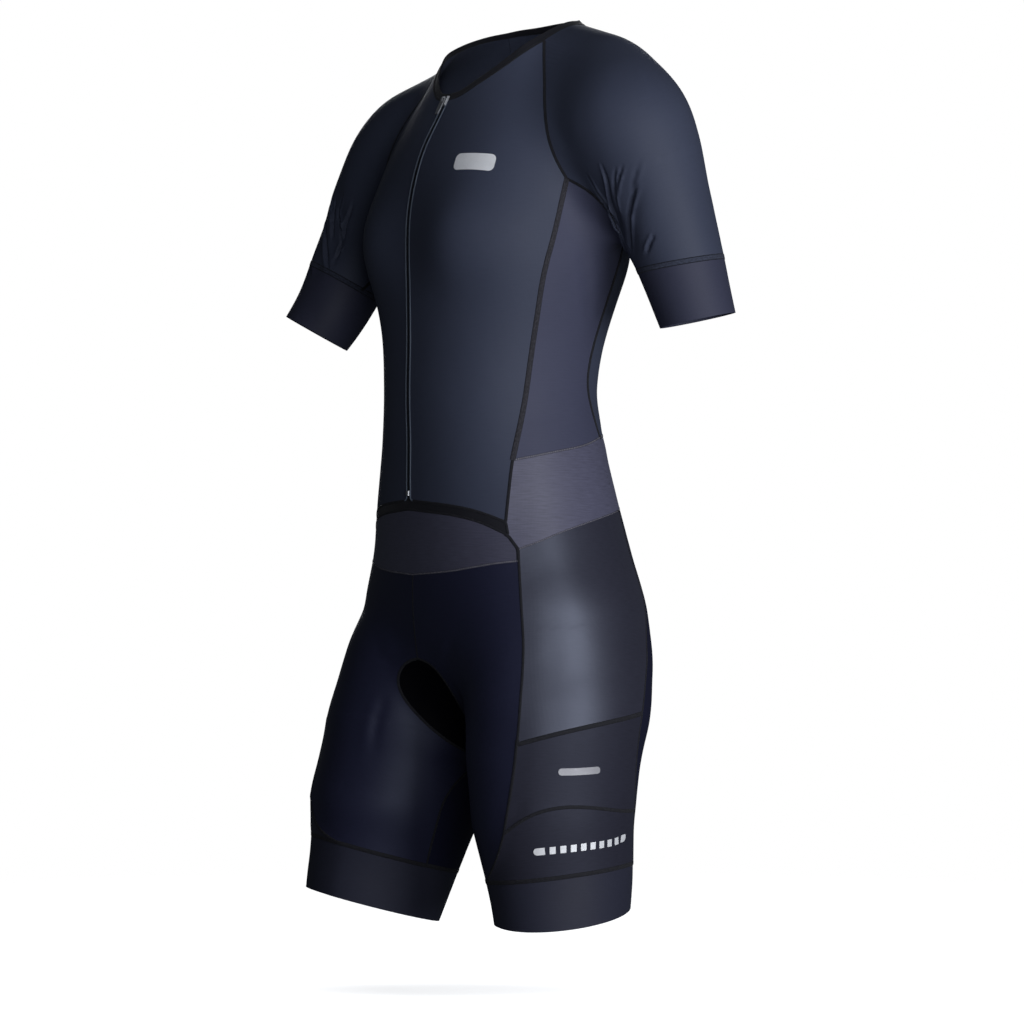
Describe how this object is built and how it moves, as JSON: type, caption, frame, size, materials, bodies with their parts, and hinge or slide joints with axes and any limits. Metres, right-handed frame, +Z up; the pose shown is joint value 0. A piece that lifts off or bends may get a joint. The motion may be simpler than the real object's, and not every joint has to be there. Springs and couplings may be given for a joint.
{
  "type": "cycling skinsuit",
  "caption": "Women's-cut short-sleeved cycling skinsuit with a half-length front zip, raglan sleeves and gripper leg bands, filled out as worn.",
  "frame": {"origin": "midway between the tops of the two shoulders, where the wearer carries the suit", "axes": "+Z up, front towards -Y, the wearer's left towards +X; the zip lies in the plane X = 0"},
  "size_m": [0.4878, 0.2686, 0.8686],
  "materials": {
    "jersey": "matt fine warp knit",
    "side_knit": "matt stretch knit with a faint horizontal rib",
    "sheen_knit": "smooth stretch knit with a soft sheen",
    "short_knit": "dense smooth stretch knit",
    "gusset": "matt stretch knit",
    "binding": "matt elastic binding",
    "coil": "nylon coil zip",
    "metal": "satin cast zip metal"
  },
  "bodies": {
    "suit": {"front_left": "jersey", "front_right": "jersey", "back": "jersey", "side_left": "side_knit", "side_right": "side_knit", "sleeve_left": "jersey", "sleeve_right": "jersey", "sleeve_cuff_left": "side_knit", "sleeve_cuff_right": "side_knit", "neck_binding": "binding", "zip_coil": "coil", "front_hem_band": "binding", "front_yoke": "sheen_knit", "waist_yoke": "sheen_knit", "leg_front_left": "short_knit", "leg_front_right": "short_knit", "leg_back_left": "short_knit", "leg_back_right": "short_knit", "hip_side_left": "sheen_knit", "hip_side_right": "sheen_knit", "leg_side_mid_left": "sheen_knit", "leg_side_mid_right": "sheen_knit", "leg_side_lower_left": "side_knit", "leg_side_lower_right": "side_knit", "leg_band_left": "side_knit", "leg_band_right": "side_knit", "seat_gusset": "gusset", "zip_slider": "metal", "zip_end_stop": "metal"},
    "pull_tab": {"zip_pull_tab": "metal"}
  },
  "joints": [
    {"name": "pull_tab_swing", "type": "hinge", "parent": "suit", "child": "pull_tab", "pos_m": [0, -0.05406, -0.05014], "axis": [-1, 0, 0], "range_deg": [0, 150]}
  ]
}
